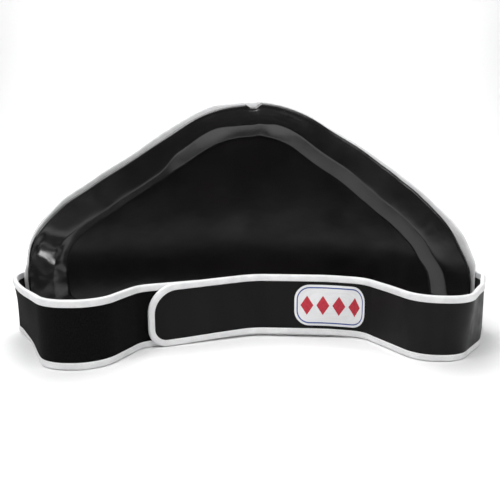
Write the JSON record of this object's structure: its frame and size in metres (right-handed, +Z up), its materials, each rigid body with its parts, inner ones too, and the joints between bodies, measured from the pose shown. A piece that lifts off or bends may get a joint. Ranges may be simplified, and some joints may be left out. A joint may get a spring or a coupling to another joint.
{
  "type": "abdominal and groin belly pad",
  "caption": "Curved padded belly and groin protector with a raised rim, edge binding and a hook-and-loop waist belt.",
  "frame": {"origin": "middle of the footprint on the surface that the pad stands on, at the middle of the pad's width", "axes": "+X across the body to the wearer's right as seen from the body side, +Y out through the strike face, +Z up towards the crown"},
  "size_m": [0.6386, 0.3308, 0.3263],
  "materials": {
    "gloss_vinyl": "smooth synthetic leather, soft gloss",
    "face_leather": "grained synthetic leather, satin",
    "belt_leather": "smooth synthetic leather, satin",
    "white_tape": "folded binding tape, satin",
    "loop_fabric": "brushed loop pile, matte",
    "lining_fabric": "plain woven nylon, matte",
    "webbing": "stiff woven webbing",
    "hook_plastic": "moulded nylon hooks",
    "white_thread": "waxed polyester thread",
    "dense_foam": "closed-cell foam, dense",
    "core_foam": "closed-cell foam",
    "soft_foam": "open-cell foam",
    "label_white": "woven label, satin",
    "label_blue": "woven label thread",
    "label_red": "woven label thread"
  },
  "bodies": {
    "pad": {"impact_foam": "dense_foam", "core_foam": "core_foam", "rim_roll": "soft_foam", "comfort_foam": "soft_foam", "back_panel": "gloss_vinyl", "rim_cover": "gloss_vinyl", "gusset_top": "gloss_vinyl", "gusset_bottom": "gloss_vinyl", "front_cover": "face_leather", "binding_left": "white_tape", "binding_right": "white_tape", "binding_joint_tab": "white_tape", "belt_tail_left": "loop_fabric", "belt_tail_right": "belt_leather", "anchor_patch_left": "face_leather", "anchor_patch_right": "face_leather", "anchor_stitching_left": "white_thread", "anchor_stitching_right": "white_thread"},
    "left_belt": {"left_belt_loop_face": "loop_fabric", "left_belt_core": "webbing", "left_belt_lining": "lining_fabric", "left_belt_binding": "white_tape"},
    "right_belt": {"right_belt_outer": "belt_leather", "right_belt_core": "webbing", "right_belt_lining": "lining_fabric", "right_belt_binding_top": "white_tape", "right_belt_binding_bottom": "white_tape"},
    "right_flap": {"right_flap_outer": "belt_leather", "right_flap_core": "webbing", "right_flap_lining": "lining_fabric", "right_flap_binding": "white_tape", "hook_panel": "hook_plastic", "label_patch": "label_white", "label_border": "label_blue", "label_lozenges": "label_red"}
  },
  "joints": [
    {"name": "right_belt_swing", "type": "hinge", "parent": "pad", "child": "right_belt", "pos_m": [0.3192, 0, 0], "axis": [0, 0, 1], "range_deg": [0, 70]},
    {"name": "right_flap_peel", "type": "hinge", "parent": "right_belt", "child": "right_flap", "pos_m": [0.1673, -0.0786, 0], "axis": [0, 0, 1], "range_deg": [0, 110]},
    {"name": "left_belt_swing", "type": "hinge", "parent": "pad", "child": "left_belt", "pos_m": [-0.3192, 0, 0], "axis": [0, 0, -1], "range_deg": [0, 17.5]}
  ],
  "couplings": [
    {"joint": "left_belt_swing", "follows": "right_belt_swing", "ratio": 0.25}
  ]
}
